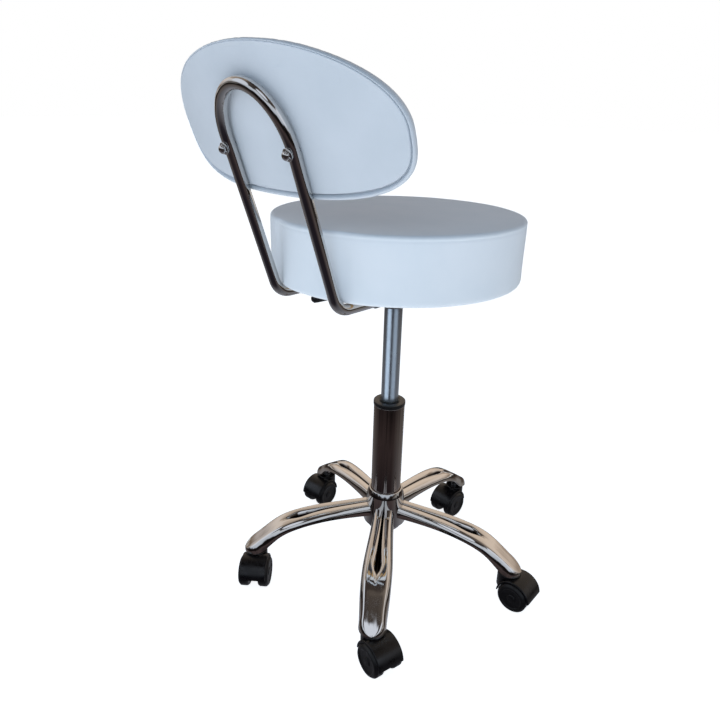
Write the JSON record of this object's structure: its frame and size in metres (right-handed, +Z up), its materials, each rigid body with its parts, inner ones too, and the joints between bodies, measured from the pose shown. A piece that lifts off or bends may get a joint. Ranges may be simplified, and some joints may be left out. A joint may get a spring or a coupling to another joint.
{
  "type": "rolling stylist stool",
  "caption": "Height-adjustable round stool on castors, with a chromed star base, a gas lift and a low curved backrest on a hairpin tube.",
  "frame": {"origin": "on the floor, under the middle of the stool's bounding box; the gas lift's axis stands 10.6 mm towards +X and 20.4 mm towards -Y of it", "axes": "+Z up along the gas lift; -Y is the sitter's front and +Y the backrest"},
  "size_m": [0.4957, 0.5162, 0.8202],
  "materials": {
    "chrome": "mirror-bright chrome plate",
    "dark_chrome": "smoky bright chrome plate",
    "bright_steel": "ground and polished steel",
    "zinc_plate": "satin zinc plate",
    "black_plastic": "moulded black plastic",
    "castor_plastic": "glossy black nylon",
    "tread_plastic": "black nylon wheel",
    "plywood": "raw plywood",
    "white_leather": "smooth white leatherette",
    "white_back_leather": "smooth white leatherette, stitched panels"
  },
  "bodies": {
    "base": {"base_hub": "chrome", "base_leg_1": "chrome", "base_leg_2": "chrome", "base_leg_3": "chrome", "base_leg_4": "chrome", "base_leg_5": "chrome", "column_tube": "dark_chrome", "column_collar": "black_plastic", "castor_1_stem": "zinc_plate", "castor_2_stem": "zinc_plate", "castor_3_stem": "zinc_plate", "castor_4_stem": "zinc_plate", "castor_5_stem": "zinc_plate"},
    "spindle": {"piston_rod": "bright_steel", "thrust_race": "zinc_plate", "rod_clip": "zinc_plate"},
    "seat": {"lift_tube": "bright_steel", "release_button": "zinc_plate", "seat_plate": "zinc_plate", "plate_screw_1": "zinc_plate", "plate_screw_2": "zinc_plate", "plate_screw_3": "zinc_plate", "plate_screw_4": "zinc_plate", "seat_board": "plywood", "seat_cushion": "white_leather", "back_tube": "chrome", "tube_saddle_1": "zinc_plate", "tube_saddle_2": "zinc_plate", "tube_saddle_3": "zinc_plate", "tube_saddle_4": "zinc_plate", "tube_plug_left": "black_plastic", "tube_plug_right": "black_plastic", "back_stud_left": "zinc_plate", "back_stud_right": "zinc_plate", "dome_nut_left": "chrome", "dome_nut_right": "chrome", "back_board": "plywood", "back_cushion": "white_back_leather"},
    "lever": {"height_lever": "zinc_plate", "lever_grip": "black_plastic"},
    "castor_1": {"castor_1_hood": "castor_plastic", "castor_1_axle": "zinc_plate"},
    "castor_1_a": {"castor_1_wheel_a": "tread_plastic"},
    "castor_1_b": {"castor_1_wheel_b": "tread_plastic"},
    "castor_2": {"castor_2_hood": "castor_plastic", "castor_2_axle": "zinc_plate"},
    "castor_2_a": {"castor_2_wheel_a": "tread_plastic"},
    "castor_2_b": {"castor_2_wheel_b": "tread_plastic"},
    "castor_3": {"castor_3_hood": "castor_plastic", "castor_3_axle": "zinc_plate"},
    "castor_3_a": {"castor_3_wheel_a": "tread_plastic"},
    "castor_3_b": {"castor_3_wheel_b": "tread_plastic"},
    "castor_4": {"castor_4_hood": "castor_plastic", "castor_4_axle": "zinc_plate"},
    "castor_4_a": {"castor_4_wheel_a": "tread_plastic"},
    "castor_4_b": {"castor_4_wheel_b": "tread_plastic"},
    "castor_5": {"castor_5_hood": "castor_plastic", "castor_5_axle": "zinc_plate"},
    "castor_5_a": {"castor_5_wheel_a": "tread_plastic"},
    "castor_5_b": {"castor_5_wheel_b": "tread_plastic"}
  },
  "joints": [
    {"name": "seat_swivel", "type": "hinge", "parent": "base", "child": "spindle", "pos_m": [0.0106, -0.018, 0.081], "axis": [0, 0, 1], "continuous": true},
    {"name": "seat_lift", "type": "slide", "parent": "spindle", "child": "seat", "axis": [0, 0, 1], "range_m": [-0.14, 0]},
    {"name": "lever_pull", "type": "hinge", "parent": "seat", "child": "lever", "pos_m": [0.01618, 0.00328, 0.50996], "axis": [0.9673, -0.2538, 0], "range_deg": [0, 5], "stiffness_Nm_per_rad": 2, "springref_deg": -2.86},
    {"name": "castor_1_swivel", "type": "hinge", "parent": "base", "child": "castor_1", "pos_m": [-0.12546, 0.15615, 0.055], "axis": [0, 0, 1], "continuous": true},
    {"name": "castor_1_roll_a", "type": "hinge", "parent": "castor_1", "child": "castor_1_a", "pos_m": [-0.14556, 0.16017, 0.025], "axis": [-0.1959, -0.9806, 0], "continuous": true},
    {"name": "castor_1_roll_b", "type": "hinge", "parent": "castor_1", "child": "castor_1_b", "pos_m": [-0.14556, 0.16017, 0.025], "axis": [-0.1959, -0.9806, 0], "continuous": true},
    {"name": "castor_2_swivel", "type": "hinge", "parent": "base", "child": "castor_2", "pos_m": [-0.19707, -0.09359, 0.055], "axis": [0, 0, 1], "continuous": true},
    {"name": "castor_2_roll_a", "type": "hinge", "parent": "castor_2", "child": "castor_2_a", "pos_m": [-0.21753, -0.09491, 0.025], "axis": [0.0645, -0.9979, 0], "continuous": true},
    {"name": "castor_2_roll_b", "type": "hinge", "parent": "castor_2", "child": "castor_2_b", "pos_m": [-0.21753, -0.09491, 0.025], "axis": [0.0645, -0.9979, 0], "continuous": true},
    {"name": "castor_3_swivel", "type": "hinge", "parent": "base", "child": "castor_3", "pos_m": [0.01831, -0.23886, 0.055], "axis": [0, 0, 1], "continuous": true},
    {"name": "castor_3_roll_a", "type": "hinge", "parent": "castor_3", "child": "castor_3_a", "pos_m": [0.01842, -0.21837, 0.025], "axis": [-1, 0.0052, 0], "continuous": true},
    {"name": "castor_3_roll_b", "type": "hinge", "parent": "castor_3", "child": "castor_3_b", "pos_m": [0.01842, -0.21837, 0.025], "axis": [-1, 0.0052, 0], "continuous": true},
    {"name": "castor_4_swivel", "type": "hinge", "parent": "base", "child": "castor_4", "pos_m": [0.22304, -0.07892, 0.055], "axis": [0, 0, 1], "continuous": true},
    {"name": "castor_4_roll_a", "type": "hinge", "parent": "castor_4", "child": "castor_4_a", "pos_m": [0.22136, -0.05849, 0.025], "axis": [-0.9966, -0.0819, 0], "continuous": true},
    {"name": "castor_4_roll_b", "type": "hinge", "parent": "castor_4", "child": "castor_4_b", "pos_m": [0.22136, -0.05849, 0.025], "axis": [-0.9966, -0.0819, 0], "continuous": true},
    {"name": "castor_5_swivel", "type": "hinge", "parent": "base", "child": "castor_5", "pos_m": [0.13418, 0.16522, 0.055], "axis": [0, 0, 1], "continuous": true},
    {"name": "castor_5_roll_a", "type": "hinge", "parent": "castor_5", "child": "castor_5_a", "pos_m": [0.12081, 0.18076, 0.025], "axis": [-0.7581, -0.6521, 0], "continuous": true},
    {"name": "castor_5_roll_b", "type": "hinge", "parent": "castor_5", "child": "castor_5_b", "pos_m": [0.12081, 0.18076, 0.025], "axis": [-0.7581, -0.6521, 0], "continuous": true}
  ]
}
